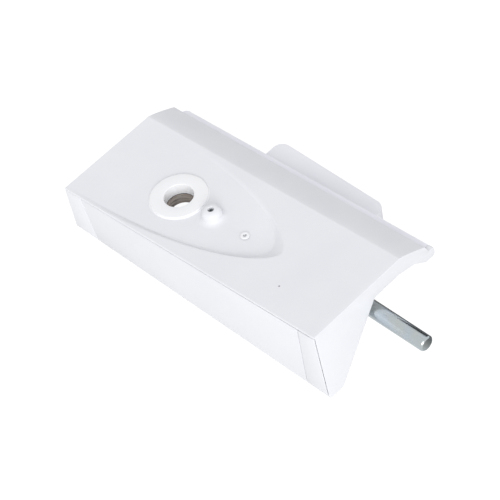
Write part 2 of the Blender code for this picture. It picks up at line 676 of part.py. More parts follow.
# Guide bushes in the lugs
for number, right in enumerate(lug_rights, 1):
    left = right - LUG_WIDTH
    outer = rod_hole_radius + GUIDE_WALL
    bush_profile = [
        (rod_hole_radius, left),
        (outer, left),
        (outer, right + TOUCH_GAP),
        (flange_radius, right + TOUCH_GAP),
        (flange_radius, right + TOUCH_GAP + GUIDE_FLANGE_WIDTH),
        (rod_hole_radius, right + TOUCH_GAP + GUIDE_FLANGE_WIDTH),
    ]
    blank = turned(bush_profile, ROUND_STEPS, "X")
    guide = add_object(f"guide_bush_{number}", blank, unit, ACETAL, (0, rod_y, ROD_HEIGHT))
    smooth(guide)

# ---------------------------------------------------------------- crank bush, washer, pinion
def thread_profile():
    """Inner wall of the bush: a flat crest, a flank down, a flat root and a flank up in each pitch."""
    points = []
    z = bush_bottom
    while z < bush_top - THREAD_PITCH / 2:
        for along, deep in THREAD_FORM:
            height = z + along * THREAD_PITCH
            if height < bush_top - THREAD_RUN_OUT:
                points.append((THREAD_CREST_RADIUS + deep * THREAD_DEPTH, height))
        z += THREAD_PITCH
    points.append((THREAD_CREST_RADIUS, bush_top))
    return points


crank = empty("crank_axis", case, (BOSS_X, BOSS_Y, 0))
bush_loop = [(bush_outer, bush_top), (bush_outer, bush_bottom)] + thread_profile()
crank_bush = add_object("crank_bush", turned(bush_loop, ROUND_STEPS), crank, STEEL)
smooth(crank_bush)
washer_inner = bush_outer + TOUCH_GAP
washer_blank = tube(washer_inner, clear_radius, washer_bottom, washer_top - TOUCH_GAP)
washer = add_object("thrust_washer", washer_blank, crank, ACETAL)
smooth(washer)


def tooth_half_angle(radius):
    """Half the angle a pinion tooth covers at this radius, on an involute flank."""
    base = rack_pitch_radius * math.cos(PRESSURE_ANGLE)
    at_pitch = math.tan(PRESSURE_ANGLE) - PRESSURE_ANGLE
    ratio = min(1.0, base / radius)
    here = math.tan(math.acos(ratio)) - math.acos(ratio)
    half_at_pitch = (tooth_pitch / 2 - BACKLASH) / 2 / rack_pitch_radius
    return half_at_pitch + at_pitch - here


def pinion_outline():
    """Each tooth has four points on either flank, from the root circle to the tip circle."""
    root = rack_pitch_radius - DEDENDUM * TOOTH_MODULE
    near_pitch = [rack_pitch_radius - 0.4 * TOOTH_MODULE, rack_pitch_radius + 0.3 * TOOTH_MODULE]
    flank = [(radius, tooth_half_angle(radius)) for radius in [root] + near_pitch + [pinion_outer]]
    points = []
    for tooth in range(PINION_TEETH):
        middle = math.pi / 2 + 2 * math.pi * tooth / PINION_TEETH
        for radius, half in flank:
            points.append((radius * math.cos(middle - half), radius * math.sin(middle - half)))
        for radius, half in flank[::-1]:
            points.append((radius * math.cos(middle + half), radius * math.sin(middle + half)))
    return points


pinion = add_object("pinion", prism(pinion_outline(), "Z", pinion_bottom, pinion_top), crank, STEEL)
pinion_hole = cylinder(pinion_bore, pinion_bottom - CUT_OVER, pinion_top + CUT_OVER, ROUND_STEPS)
boolean(pinion, add_object("pinion_bore_cutter", pinion_hole, crank), "DIFFERENCE")

# ---------------------------------------------------------------- bearing plate and its screws
# A ring round the bush, with a bar across it that ends in two round ears
ear_y = BOSS_Y + BEARING_SCREW_Y
ear_left = bearing_screws[0][0] - BEARING_EAR
ear_right = bearing_screws[1][0] + BEARING_EAR
ear_corners = rectangle(ear_left, ear_right, ear_y - BEARING_EAR, ear_y + BEARING_EAR)
ear_plan = rounded(ear_corners, [BEARING_EAR * 0.98] * 4)
bearing = add_object("bearing_plate", prism(ear_plan, "Z", bearing_bottom, bearing_top), case, ZINC)
ring_blank = cylinder(clear_radius, bearing_bottom, bearing_top, ROUND_STEPS)
ring = add_object("bearing_ring", ring_blank, case, location=(BOSS_X, BOSS_Y, 0))
boolean(bearing, ring, "UNION")
bearing_hole = cylinder(bush_outer + RUN_GAP, bearing_bottom - CUT_OVER, bearing_top + CUT_OVER, ROUND_STEPS)
cut = add_object("bearing_hole_cutter", bearing_hole, case, location=(BOSS_X, BOSS_Y, 0))
boolean(bearing, cut, "DIFFERENCE")
for number, (x, y) in enumerate(bearing_screws, 1):
    hole = cylinder(small_hole_radius, bearing_bottom - CUT_OVER, bearing_top + CUT_OVER)
    cut = add_object(f"bearing_screw_hole_{number}", hole, case, location=(x, y, 0))
    boolean(bearing, cut, "DIFFERENCE")
    head_top = bearing_bottom - TOUCH_GAP
    screw_profile = [
        (0, head_top - SMALL_HEAD_HEIGHT),
        (SMALL_HEAD_RADIUS, head_top - SMALL_HEAD_HEIGHT),
        (SMALL_HEAD_RADIUS, head_top),
        (SMALL_SCREW_RADIUS, head_top),
        (SMALL_SCREW_RADIUS, -PLATE_WALL - 2 * TOUCH_GAP),
        (0, -PLATE_WALL - 2 * TOUCH_GAP),
    ]
    screw = add_object(f"bearing_screw_{number}", turned(screw_profile, SMALL_STEPS), case, ZINC, (x, y, 0))
    smooth(screw)

# ---------------------------------------------------------------- adjusting screw and eyelet
adjuster_top = dome_top - ADJUSTER_DEPTH
adjuster_radius = PINHOLE_RADIUS - TOUCH_GAP
adjuster_blank = cylinder(adjuster_radius, adjuster_top - ADJUSTER_LENGTH, adjuster_top)
adjuster = add_object("adjusting_screw", adjuster_blank, case, STEEL, (DOME_X, DOME_Y, 0))
slot_half = ADJUSTER_SLOT / 2
slot_plan = rectangle(-2 * adjuster_radius, 2 * adjuster_radius, -slot_half, slot_half)
slot = prism(slot_plan, "Z", adjuster_top - ADJUSTER_SLOT, adjuster_top + CUT_OVER)
cut = add_object("adjuster_slot_cutter", slot, case, location=(DOME_X, DOME_Y, 0))
boolean(adjuster, cut, "DIFFERENCE")
smooth(adjuster)
eyelet_profile = [
    (EYELET_HOLE_RADIUS, -PLATE_WALL),
    (EYELET_SHANK_RADIUS, -PLATE_WALL),
    (EYELET_SHANK_RADIUS, eyelet_floor + TOUCH_GAP / 2),
    (EYELET_RADIUS, eyelet_floor + TOUCH_GAP / 2),
    (EYELET_RADIUS, eyelet_floor + EYELET_RISE * 0.6),
    (EYELET_RADIUS - EYELET_RISE / 2, eyelet_floor + EYELET_RISE),
    (EYELET_HOLE_RADIUS, eyelet_floor + EYELET_RISE),
]
eyelet = add_object("eyelet", turned(eyelet_profile, SMALL_STEPS), case, ACETAL, (EYELET_X, EYELET_Y, 0))
smooth(eyelet)

# ---------------------------------------------------------------- rack, rod and what is on them
bolt = empty("bolt_axis", unit, (0, rod_y, ROD_HEIGHT))
tooth_count = math.ceil(BOLT_TRAVEL / (tooth_pitch * cos_tilt)) + SPARE_TEETH
first_tooth = -SPARE_TEETH // 2


def rack_outline():
    """Plan of the toothed bar in the case's axes, about the point where pinion and rack meet."""
    tip = -ADDENDUM * TOOTH_MODULE
    root = DEDENDUM * TOOTH_MODULE
    half_at_pitch = (tooth_pitch / 2 - BACKLASH) / 2
    lean = math.tan(PRESSURE_ANGLE)
    points = []
    for tooth in range(tooth_count):
        middle = (first_tooth + tooth + 0.5) * tooth_pitch
        tip_half = half_at_pitch + tip * lean
        root_half = half_at_pitch + root * lean
        points += [(middle - root_half, root), (middle - tip_half, tip)]
        points += [(middle + tip_half, tip), (middle + root_half, root)]
    return points


def bar(x_low, x_high, y_low, y_high, z_low, z_high):
    return prism(rectangle(x_low, x_high, y_low, y_high), "Z", z_low, z_high)


# The teeth stand square to the pinion, so they are drawn in the case's tilt and trimmed along the rod
rack_root = DEDENDUM * TOOTH_MODULE
rack_back = rack_root + RACK_BODY
teeth = rack_outline()
left_end = teeth[0][0] - RACK_END
right_reach = head_right - mesh_x
rack_plan = [(left_end, rack_root)] + teeth
rack_plan += [(right_reach, rack_root), (right_reach, rack_back), (left_end, rack_back)]
rack = add_object("rack_bar", prism(rack_plan, "Z", bush_bottom * 2, PLATE_WALL), bolt, STEEL)
rack_meet = Vector(case_to_block(BOSS_X, 0)).to_3d()
rack.location = (rack_meet.x, rack_line_y - rod_y, rack_meet.y - ROD_HEIGHT)
rack.rotation_euler = (0, -CASE_TILT, 0)
rack_half_height = RACK_HEIGHT / 2
trim_right = head_left + HEAD_LENGTH / 4
keep = bar(mesh_x - CASE_LENGTH, trim_right, -CASE_LENGTH, CASE_LENGTH, -rack_half_height, rack_half_height)
boolean(rack, add_object("rack_trim", keep, bolt), "INTERSECT")
head_half = ROD_RADIUS + TOUCH_GAP + HEAD_WALL
head_back = rack_line_y - rod_y + rack_back
head = bar(head_left, head_right, -head_half, head_back, -head_half, head_half)
boolean(rack, add_object("rack_head", head, bolt), "UNION")
socket_left = head_right - SOCKET_DEPTH
socket = cylinder(ROD_RADIUS + TOUCH_GAP, socket_left, head_right + CUT_OVER, ROUND_STEPS, "X")
boolean(rack, add_object("socket_cutter", socket, bolt), "DIFFERENCE")

rod_left = socket_left + TOUCH_GAP
rod_end_case_z = (ROD_HEIGHT - CASE_LEFT_HEIGHT - CASE_LENGTH * sin_tilt) / cos_tilt
rod_right = CASE_LENGTH * cos_tilt - rod_end_case_z * sin_tilt + ROD_OVERHANG
rod_profile = [
    (0, rod_left),
    (ROD_RADIUS, rod_left),
    (ROD_RADIUS, rod_right - ROD_CHAMFER),
    (ROD_RADIUS - ROD_CHAMFER, rod_right),
    (0, rod_right),
]
rod = add_object("drive_rod", turned(rod_profile, ROUND_STEPS, "X"), bolt, ZINC)
smooth(rod)
pin_x = (rod_left + head_right) / 2
for target in (rack, rod):
    blank = cylinder(PIN_RADIUS + TOUCH_GAP, -head_half - CUT_OVER, head_half + CUT_OVER)
    cut = add_object(f"pin_cutter_{target.name}", blank, bolt, location=(pin_x, 0, 0))
    boolean(target, cut, "DIFFERENCE")
pin_half = head_half - PIN_RECESS
pin = add_object("cross_pin", cylinder(PIN_RADIUS, -pin_half, pin_half), bolt, STEEL, (pin_x, 0, 0))
smooth(pin)
collar = tube(rod_hole_radius, rod_hole_radius + COLLAR_WALL, collar_left, collar_right, axis="X")
stop_collar = add_object("stop_collar", collar, bolt, ZINC)
smooth(stop_collar)
clip_left = block_right + TOUCH_GAP * 2 + GUIDE_FLANGE_WIDTH + BOLT_TRAVEL
clip = tube(rod_hole_radius, rod_hole_radius + CLIP_WALL, clip_left, clip_left + CLIP_WIDTH, axis="X")
retaining_clip = add_object("retaining_clip", clip, bolt, STEEL)
smooth(retaining_clip)

# ---------------------------------------------------------------- rack guide on the block
pad_left = BLOCK_LEFT - PAD_LEFT_OVERHANG
pad_right = head_left - BOLT_TRAVEL - RUN_GAP
pad_bottom = BLOCK_TOP + TOUCH_GAP
pad_rear_y = pad_front_y + PAD_WALL
pad = bar(pad_left, pad_right, pad_front_y, pad_rear_y, pad_bottom, ROD_HEIGHT + rack_half_height)
rack_guide = add_object("rack_guide", pad, unit, ACETAL)
shelf_top = ROD_HEIGHT - rack_half_height - RUN_GAP
shelf = bar(pad_left, pad_right, pad_front_y - RACK_BODY, pad_rear_y, pad_bottom, shelf_top)
boolean(rack_guide, add_object("rack_guide_shelf", shelf, unit), "UNION")
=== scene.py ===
"""Surfaces, finishes, light and camera for a crank-driven sash bolt unit."""

import json
import math

import bpy
import numpy as np
from mathutils import Matrix, Vector


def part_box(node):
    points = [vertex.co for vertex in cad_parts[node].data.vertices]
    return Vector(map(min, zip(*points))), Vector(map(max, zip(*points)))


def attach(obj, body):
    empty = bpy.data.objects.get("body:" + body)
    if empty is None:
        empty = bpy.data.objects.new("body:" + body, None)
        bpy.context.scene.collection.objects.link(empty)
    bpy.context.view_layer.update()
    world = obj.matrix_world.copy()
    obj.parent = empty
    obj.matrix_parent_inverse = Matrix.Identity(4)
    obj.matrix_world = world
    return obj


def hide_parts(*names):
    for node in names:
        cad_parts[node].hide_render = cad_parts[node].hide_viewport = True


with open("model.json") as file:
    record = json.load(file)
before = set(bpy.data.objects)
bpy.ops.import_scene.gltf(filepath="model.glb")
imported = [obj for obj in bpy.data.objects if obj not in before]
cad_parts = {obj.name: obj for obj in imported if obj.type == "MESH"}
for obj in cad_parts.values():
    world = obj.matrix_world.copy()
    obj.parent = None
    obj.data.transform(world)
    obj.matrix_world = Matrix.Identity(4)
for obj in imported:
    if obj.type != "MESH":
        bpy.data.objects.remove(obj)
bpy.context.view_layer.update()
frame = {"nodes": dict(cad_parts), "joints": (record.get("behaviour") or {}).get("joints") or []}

MM = 0.001

# ---------------------------------------------------------------- the case's own axes
# The crank's axis stands square on the sloping top plate, so it gives the slope and the height.
crank_joint = next(j for j in frame["joints"] if j["name"] == "crank_turn")
TURN_AXIS = np.array(crank_joint["axis"], float)
TURN_AXIS /= np.linalg.norm(TURN_AXIS)
SLOPE = math.asin(-TURN_AXIS[0])
BOSS = np.array([50.7, 28.1]) * MM
ALONG = np.array([math.cos(SLOPE), 0.0, math.sin(SLOPE)])
ACROSS = np.array([0.0, 1.0, 0.0])
CASE_ZERO = np.array(crank_joint["pos_m"], float) - BOSS[0] * ALONG - BOSS[1] * ACROSS

CASE_LENGTH = 165.0 * MM
PLATE_DEPTH = 57.7 * MM
PLATE_WALL = 3.2 * MM
SHOULDER_RUN = 15.9 * MM
SHOULDER_DROP = 6.9 * MM
SHOULDER_POWER = 1.2
LIP_RUN = 2.3 * MM
LIP_DROP = 4.7 * MM
LIP_WALL = 2.9 * MM
LIP_Y = PLATE_DEPTH + SHOULDER_RUN + LIP_RUN
LIP_Z = -SHOULDER_DROP - LIP_DROP
FRONT_LIP = 0.8 * MM
END_WALL = 3.0 * MM
END_RIM = 9.0 * MM
SKIRT_WALL = 2.5 * MM
SKIRT_LIFT = 2.45 * MM
STRIP_Y = LIP_Y + 3.3 * MM
RECESS_Y = 28.9 * MM
NOSE_X = 117.3 * MM


def to_row(points):
    """Case to frame coordinates: zero point + x along the slope + y across + z square to the plate."""
    points = np.asarray(points, float)
    return CASE_ZERO + points[..., :1] * ALONG + points[..., 1:2] * ACROSS + points[..., 2:3] * TURN_AXIS


def box_of(name):
    """Lowest and highest corner of a CAD node, as two rows."""
    return np.array([tuple(corner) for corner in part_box(name)], float)


def case_height(x, height):
    """Case z of the point at case x at this height above the base: (height - zero - x sin) / cos."""
    return (height - CASE_ZERO[2] - x * math.sin(SLOPE)) / math.cos(SLOPE)


# ---------------------------------------------------------------- mesh building
def new_piece(name, vertices, faces, material, slot, body="housing", sharp=35.0):
    mesh = bpy.data.meshes.new(name)
    mesh.from_pydata(np.asarray(vertices).tolist(), [], faces)
    mesh.materials.append(material)
    mesh.update()
    mesh.shade_smooth()
    mesh.set_sharp_from_angle(angle=math.radians(sharp))
    piece = bpy.data.objects.new(name, mesh)
    bpy.context.scene.collection.objects.link(piece)
    if body:
        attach(piece, body)
    return piece


def grid_faces(rows, columns, wrap_rows=False, wrap_columns=False):
    """Quads of a grid whose point (i, j) has the index i * columns + j."""
    i = np.arange(rows if wrap_rows else rows - 1)
    j = np.arange(columns if wrap_columns else columns - 1)
    i, j = np.meshgrid(i, j, indexing="ij")
    i2, j2 = (i + 1) % rows, (j + 1) % columns
    quads = np.stack([i * columns + j, i2 * columns + j, i2 * columns + j2, i * columns + j2], -1)
    return quads.reshape(-1, 4).tolist()


def tube_between(loops):
    """A closed body from closed loops, (rows, columns, 3): quads between them and a flat cap at each end."""
    rows, columns = loops.shape[:2]
    faces = grid_faces(rows, columns, wrap_columns=True)
    faces.append(list(range(columns)))
    faces.append([(rows - 1) * columns + k for k in range(columns)][::-1])
    return loops.reshape(-1, 3), faces


def turned_loops(profile, steps, centre=(0.0, 0.0)):
    """A profile of (radius, height) spun about z at the centre: x = cx + r cos, y = cy + r sin, z = h."""
    profile = np.asarray(profile, float)
    angle = np.linspace(0, 2 * math.pi, steps, endpoint=False)
    x = centre[0] + profile[:, :1] * np.cos(angle)
    y = centre[1] + profile[:, :1] * np.sin(angle)
    z = np.repeat(profile[:, 1:2], steps, 1)
    return np.stack([x, y, z], -1)


def arc(centre, radius, start, stop, steps):
    """Points on an arc, in degrees: centre + radius (cos, sin)."""
    angle = np.radians(np.linspace(start, stop, steps))
    return np.stack([centre[0] + radius * np.cos(angle), centre[1] + radius * np.sin(angle)], -1)


def rounded_outline(corners, radii, steps=8):
    """Each corner becomes the arc that touches its sides: centre on the bisector at r / sin(half angle)."""
    corners = np.asarray(corners, float)
    radii = np.broadcast_to(radii, len(corners))
    points = []
    for here, before, after, radius in zip(corners, np.roll(corners, 1, 0), np.roll(corners, -1, 0), radii):
        if radius == 0:
            points.append(here[None])
            continue
        a = (before - here) / np.linalg.norm(before - here)
        b = (after - here) / np.linalg.norm(after - here)
        half = math.acos(np.clip(a @ b, -1, 1)) / 2
        middle = (a + b) / np.linalg.norm(a + b)
        centre = here + middle * radius / math.sin(half)
        first = here + a * radius / math.tan(half) - centre
        last = here + b * radius / math.tan(half) - centre
        start = math.atan2(first[1], first[0])
        sweep = (math.atan2(last[1], last[0]) - start + math.pi) % (2 * math.pi) - math.pi
        points.append(arc(centre, radius, math.degrees(start), math.degrees(start + sweep), steps))
    return np.concatenate(points)


def slab(name, outline, axis, low, high, material, slot, bevel=0.35 * MM, in_case=True, segments=3):
    """A flat piece: its outline at two depths along an axis, closed by two faces, with sharp edges rounded.

    The outline's pairs are (y, z) along X, (x, z) along Y and (x, y) along Z.
    """
    outline = np.asarray(outline, float)
    order = {"X": (2, 0, 1), "Y": (0, 2, 1), "Z": (0, 1, 2)}[axis]
    loops = []
    for depth in (low, high):
        flat = np.column_stack([outline, np.full(len(outline), depth)])
        loops.append(flat[:, order])
    vertices, faces = tube_between(np.stack(loops))
    if in_case:
        vertices = to_row(vertices)
    piece = new_piece(name, vertices, faces, material, slot, sharp=28.0)
    face_out(piece)
    if bevel:
        step = piece.modifiers.new("rounded edges", "BEVEL")
        step.width = bevel
        step.segments = segments
        step.limit_method = "ANGLE"
        step.angle_limit = math.radians(40)
        step.harden_normals = False
        apply_modifiers(piece)
        piece.data.shade_smooth()
        piece.data.set_sharp_from_angle(angle=math.radians(50))
    return piece


def face_out(piece):
    """Turns a closed mesh right side out: its volume, the sum of corner triple products, must be positive."""
    mesh = piece.data
    mesh.calc_loop_triangles()
    points = np.empty(len(mesh.vertices) * 3)
    mesh.vertices.foreach_get("co", points)
    triangles = np.empty(len(mesh.loop_triangles) * 3, np.int32)
    mesh.loop_triangles.foreach_get("vertices", triangles)
    corners = points.reshape(-1, 3)[triangles.reshape(-1, 3)]
    if np.linalg.det(corners).sum() < 0:
        mesh.flip_normals()


def apply_modifiers(piece):
    """Replaces the mesh by what its modifiers make of it."""
    graph = bpy.context.evaluated_depsgraph_get()
    done = bpy.data.meshes.new_from_object(piece.evaluated_get(graph))
    done.name = piece.name
    piece.modifiers.clear()
    piece.data = done


def combine(piece, other, operation):
    """Cuts or joins with a closed helper, then drops the helper."""
    step = piece.modifiers.new(other.name, "BOOLEAN")
    step.solver = "MANIFOLD"
    step.operation = operation
    step.object = other
    apply_modifiers(piece)
    bpy.data.objects.remove(other, do_unlink=True)


def helper(name, vertices, faces):
    piece = new_piece(name, vertices, faces, white_plastic, "white_plastic", body=None)
    face_out(piece)
    return piece


# ---------------------------------------------------------------- finishes
def group(name, inputs, outputs):
    """An empty node group with these sockets; returns the tree and its input and output nodes."""
    tree = bpy.data.node_groups.new(name, "ShaderNodeTree")
    for label, kind, value in inputs:
        socket = tree.interface.new_socket(label, in_out="INPUT", socket_type=kind)
        if value is not None:
            socket.default_value = value
    for label, kind in outputs:
        tree.interface.new_socket(label, in_out="OUTPUT", socket_type=kind)
    return tree, tree.nodes.new("NodeGroupInput"), tree.nodes.new("NodeGroupOutput")


def node(tree, kind, **values):
    made = tree.nodes.new(kind)
    for key, value in values.items():
        setattr(made, key, value)
    return made


def noise(tree, vector, scale, detail=3.0, roughness=0.55):
    made = node(tree, "ShaderNodeTexNoise")
    made.inputs["Scale"].default_value = scale
    made.inputs["Detail"].default_value = detail
    made.inputs["Roughness"].default_value = roughness
    tree.links.new(vector, made.inputs["Vector"])
    return made.outputs["Fac"]


def remap(tree, value, low, high, to_low, to_high):
    made = node(tree, "ShaderNodeMapRange")
    for label, number in (("From Min", low), ("From Max", high), ("To Min", to_low), ("To Max", to_high)):
        made.inputs[label].default_value = number
    tree.links.new(value, made.inputs["Value"])
    return made.outputs["Result"]


def mix_colour(tree, factor, first, second):
    made = node(tree, "ShaderNodeMix", data_type="RGBA")
    for socket, value in ((made.inputs[0], factor), (made.inputs[6], first), (made.inputs[7], second)):
        if isinstance(value, bpy.types.NodeSocket):
            tree.links.new(value, socket)
        else:
            socket.default_value = value
    return made.outputs[2]


def moulded_skin():
    """Skin of a moulding: clouds in the colour, fine grain in the height, rub marks in the roughness."""
    tree, start, end = group(
        "moulded_skin",
        [
            ("Colour", "NodeSocketColor", (0.8, 0.8, 0.8, 1)),
            ("Cloud Colour", "NodeSocketColor", (0.7, 0.7, 0.7, 1)),
            ("Roughness", "NodeSocketFloat", 0.4),
            ("Grain Scale", "NodeSocketFloat", 2600.0),
        ],
        [("Colour", "NodeSocketColor"), ("Roughness", "NodeSocketFloat"), ("Height", "NodeSocketFloat")],
    )
    place = node(tree, "ShaderNodeTexCoord").outputs["Object"]
    cloud = remap(tree, noise(tree, place, 38.0, 4.0), 0.35, 0.7, 0.0, 1.0)
    specks = remap(tree, noise(tree, place, 900.0, 2.0), 0.70, 0.78, 0.0, 0.35)
    added = node(tree, "ShaderNodeMath", operation="MAXIMUM")
    tree.links.new(cloud, added.inputs[0])
    tree.links.new(specks, added.inputs[1])
    colour = mix_colour(tree, added.outputs[0], (1, 1, 1, 1), (1, 1, 1, 1))
    blend = colour.node
    tree.links.new(start.outputs["Colour"], blend.inputs[6])
    tree.links.new(start.outputs["Cloud Colour"], blend.inputs[7])
    grain = node(tree, "ShaderNodeTexNoise")
    tree.links.new(place, grain.inputs["Vector"])
    tree.links.new(start.outputs["Grain Scale"], grain.inputs["Scale"])
    rub = remap(tree, noise(tree, place, 120.0, 5.0, 0.7), 0.3, 0.75, -0.07, 0.10)
    rough = node(tree, "ShaderNodeMath", operation="ADD")
    tree.links.new(start.outputs["Roughness"], rough.inputs[0])
    tree.links.new(rub, rough.inputs[1])
    tree.links.new(colour, end.inputs["Colour"])
    tree.links.new(rough.outputs[0], end.inputs["Roughness"])
    tree.links.new(grain.outputs["Fac"], end.inputs["Height"])
    return tree


def metal_skin():
    """Skin of worked steel: fine lines drawn out along one axis, over slow patches of tint."""
    tree, start, end = group(
        "metal_skin",
        [
            ("Colour", "NodeSocketColor", (0.5, 0.5, 0.5, 1)),
            ("Line Colour", "NodeSocketColor", (0.4, 0.4, 0.4, 1)),
            ("Tint", "NodeSocketColor", (0.5, 0.5, 0.6, 1)),
            ("Roughness", "NodeSocketFloat", 0.25),
            ("Stretch", "NodeSocketVector", (40.0, 1800.0, 1800.0)),
        ],
        [("Colour", "NodeSocketColor"), ("Roughness", "NodeSocketFloat"), ("Height", "NodeSocketFloat")],
    )
    place = node(tree, "ShaderNodeTexCoord").outputs["Object"]
    drawn = node(tree, "ShaderNodeVectorMath", operation="MULTIPLY")
    tree.links.new(place, drawn.inputs[0])
    tree.links.new(start.outputs["Stretch"], drawn.inputs[1])
    lines = noise(tree, drawn.outputs[0], 1.0, 4.0, 0.6)
    patches = remap(tree, noise(tree, place, 160.0, 3.0), 0.4, 0.65, 0.0, 0.6)
    lined = mix_colour(tree, remap(tree, lines, 0.35, 0.7, 0.0, 1.0), (1, 1, 1, 1), (1, 1, 1, 1))
    tree.links.new(start.outputs["Colour"], lined.node.inputs[6])
    tree.links.new(start.outputs["Line Colour"], lined.node.inputs[7])
    tinted = mix_colour(tree, patches, lined, (1, 1, 1, 1))
    tree.links.new(start.outputs["Tint"], tinted.node.inputs[7])
    rough = node(tree, "ShaderNodeMath", operation="ADD")
    tree.links.new(start.outputs["Roughness"], rough.inputs[0])
    tree.links.new(remap(tree, lines, 0.3, 0.7, -0.05, 0.09), rough.inputs[1])
    tree.links.new(tinted, end.inputs["Colour"])
    tree.links.new(rough.outputs[0], end.inputs["Roughness"])
    tree.links.new(lines, end.inputs["Height"])
    return tree


MOULDED = moulded_skin()
METAL = metal_skin()


def finish(name, skin, settings, metallic, bump_depth, bump_strength):
    """A Principled material fed by one of the skins."""
    made = bpy.data.materials.new(name)
    made.use_nodes = True
    tree = made.node_tree
    shader = tree.nodes["Principled BSDF"]
    shader.inputs["Metallic"].default_value = metallic
    skin_node = node(tree, "ShaderNodeGroup", node_tree=skin)
    for label, value in settings.items():
        skin_node.inputs[label].default_value = value
    tree.links.new(skin_node.outputs["Colour"], shader.inputs["Base Color"])
    tree.links.new(skin_node.outputs["Roughness"], shader.inputs["Roughness"])
    bump = node(tree, "ShaderNodeBump")
    bump.inputs["Distance"].default_value = bump_depth
    bump.inputs["Strength"].default_value = bump_strength
    tree.links.new(skin_node.outputs["Height"], bump.inputs["Height"])
    tree.links.new(bump.outputs["Normal"], shader.inputs["Normal"])
    return made


GRAIN_DEPTH = 0.03 * MM
LINE_DEPTH = 0.01 * MM


def plastic(name, colour, cloud, roughness, grain=2600.0, strength=0.25):
    settings = {
        "Colour": (*colour, 1),
        "Cloud Colour": (*cloud, 1),
        "Roughness": roughness,
        "Grain Scale": grain,
    }
    return finish(name, MOULDED, settings, 0.0, GRAIN_DEPTH, strength)


METAL_LINE_STRENGTH = 0.3


def metal(name, colour, lines, tint, roughness, stretch):
    settings = {
        "Colour": (*colour, 1),
        "Line Colour": (*lines, 1),
        "Tint": (*tint, 1),
        "Roughness": roughness,
        "Stretch": stretch,
    }
    return finish(name, METAL, settings, 1.0, LINE_DEPTH, METAL_LINE_STRENGTH)


white_plastic = plastic("case_white", (0.775, 0.785, 0.815), (0.755, 0.763, 0.795), 0.40)
# Painted light: the block's plastic is the case plastic made lighter, to lift the shade that the case's
# overhang casts on the block and its lugs.
block_white_painted_light = plastic("block_white_painted_light", (0.835, 0.842, 0.885), (0.815, 0.822, 0.866), 0.46, 2200.0, 0.35)
# Painted light: the rear strip's plastic is the case plastic made lighter, to lift the shade that the rear
# lip casts on the strip.
strip_white_painted_light = plastic("strip_white_painted_light", (0.865, 0.870, 0.925), (0.845, 0.850, 0.905), 0.42, 2400.0, 0.30)
boss_white = plastic("boss_white", (0.865, 0.87, 0.885), (0.845, 0.85, 0.868), 0.34, 3000.0, 0.15)
acetal_white = plastic("acetal_white", (0.76, 0.76, 0.74), (0.73, 0.73, 0.71), 0.30, 1800.0, 0.15)
zinc_bright = metal(
    "zinc_bright", (0.56, 0.63, 0.68), (0.48, 0.54, 0.58), (0.58, 0.60, 0.56), 0.20,
    (30.0, 2600.0, 2600.0),
)
zinc_small = metal(
    "zinc_small", (0.55, 0.58, 0.58), (0.45, 0.47, 0.47), (0.60, 0.57, 0.46), 0.28,
    (900.0, 900.0, 60.0),
)
steel_turned = metal(
    "steel_turned", (0.30, 0.27, 0.25), (0.20, 0.18, 0.16), (0.36, 0.30, 0.26), 0.34,
    (300.0, 300.0, 5200.0),
)
steel_cut = metal(
    "steel_cut", (0.40, 0.40, 0.40), (0.30, 0.30, 0.30), (0.42, 0.39, 0.36), 0.32,
    (120.0, 2400.0, 2400.0),
)
screw_dark = metal(
    "screw_dark", (0.16, 0.18, 0.19), (0.11, 0.12, 0.13), (0.19, 0.20, 0.20), 0.42,
    (900.0, 900.0, 900.0),
)

for part, surface in {
    "thrust_washer": acetal_white,
    "guide_bush_1": acetal_white,
    "guide_bush_2": acetal_white,
    "rack_guide": acetal_white,
    "eyelet": boss_white,
    "stop_collar": zinc_small,
    "bearing_plate": zinc_small,
    "bearing_screw_1": zinc_small,
    "bearing_screw_2": zinc_small,
    "case_screw_1": zinc_small,
    "case_screw_2": zinc_small,
    "case_screw_3": zinc_small,
    "case_screw_4": zinc_small,
    "pinion": steel_cut,
    "rack_bar": steel_cut,
    "cross_pin": steel_cut,
    "retaining_clip": steel_cut,
    "adjusting_screw": screw_dark,
}.items():
    mesh = frame["nodes"][part].data
    mesh.materials.clear()
    mesh.materials.append(surface)

# ---------------------------------------------------------------- case plate with its sunk oval
NOSE_DEPTH = 2.0 * MM
LEFT_DEPTH = 0.06 * MM
NOSE_STEP = (88.0 * MM, 108.0 * MM)
NOSE_EXTRA = 0.8 * MM
OVAL_POWER = 2.2
RIM = (NOSE_X, 29.2 * MM, 0.62)
FLOOR = (109.7 * MM, 26.9 * MM, 0.50)
FAR_RISE = 0.95  # share of the depth that is gone at the far side


def floor_depth(x):
    """Depth of the sunk floor: even growth with x, then a smooth step t * t * (3 - 2 t) at the nose."""
    t = np.clip((x - NOSE_STEP[0]) / (NOSE_STEP[1] - NOSE_STEP[0]), 0, 1)
    even = LEFT_DEPTH + (NOSE_DEPTH - LEFT_DEPTH) * np.clip(x, 0, None) / NOSE_X
    return even + NOSE_EXTRA * t * t * (3 - 2 * t)


def oval_level(x, y, nose, half_width, taper):
    """1 on the oval, less inside: (x / nose) ** power + (|y - middle| / half width) ** (1 / taper)."""
    return (np.clip(x, 0, None) / nose) ** OVAL_POWER + (np.abs(y - RECESS_Y) / half_width) ** (1 / taper)


def sunk(x, y):
    """Depth of the plate's surface at (x, y): 0 outside the rim, the floor's depth inside, a straight slope
    between, all times 1 - rise * distance behind the middle / half width.  The rise fades to the nose."""
    rim = oval_level(x, y, *RIM)
    floor = oval_level(x, y, *FLOOR)
    share = np.clip((1 - rim) / np.maximum((1 - rim) + (floor - 1), 1e-9), 0, 1)
    share = np.where(floor <= 1, 1.0, np.where(rim >= 1, 0.0, share))
    behind = np.clip((y - RECESS_Y) / RIM[1], 0, 1)
    rise = FAR_RISE * (1 - np.clip((x - NOSE_STEP[0]) / (NOSE_STEP[1] - NOSE_STEP[0]), 0, 1))
    return floor_depth(x) * share * (1 - rise * behind)


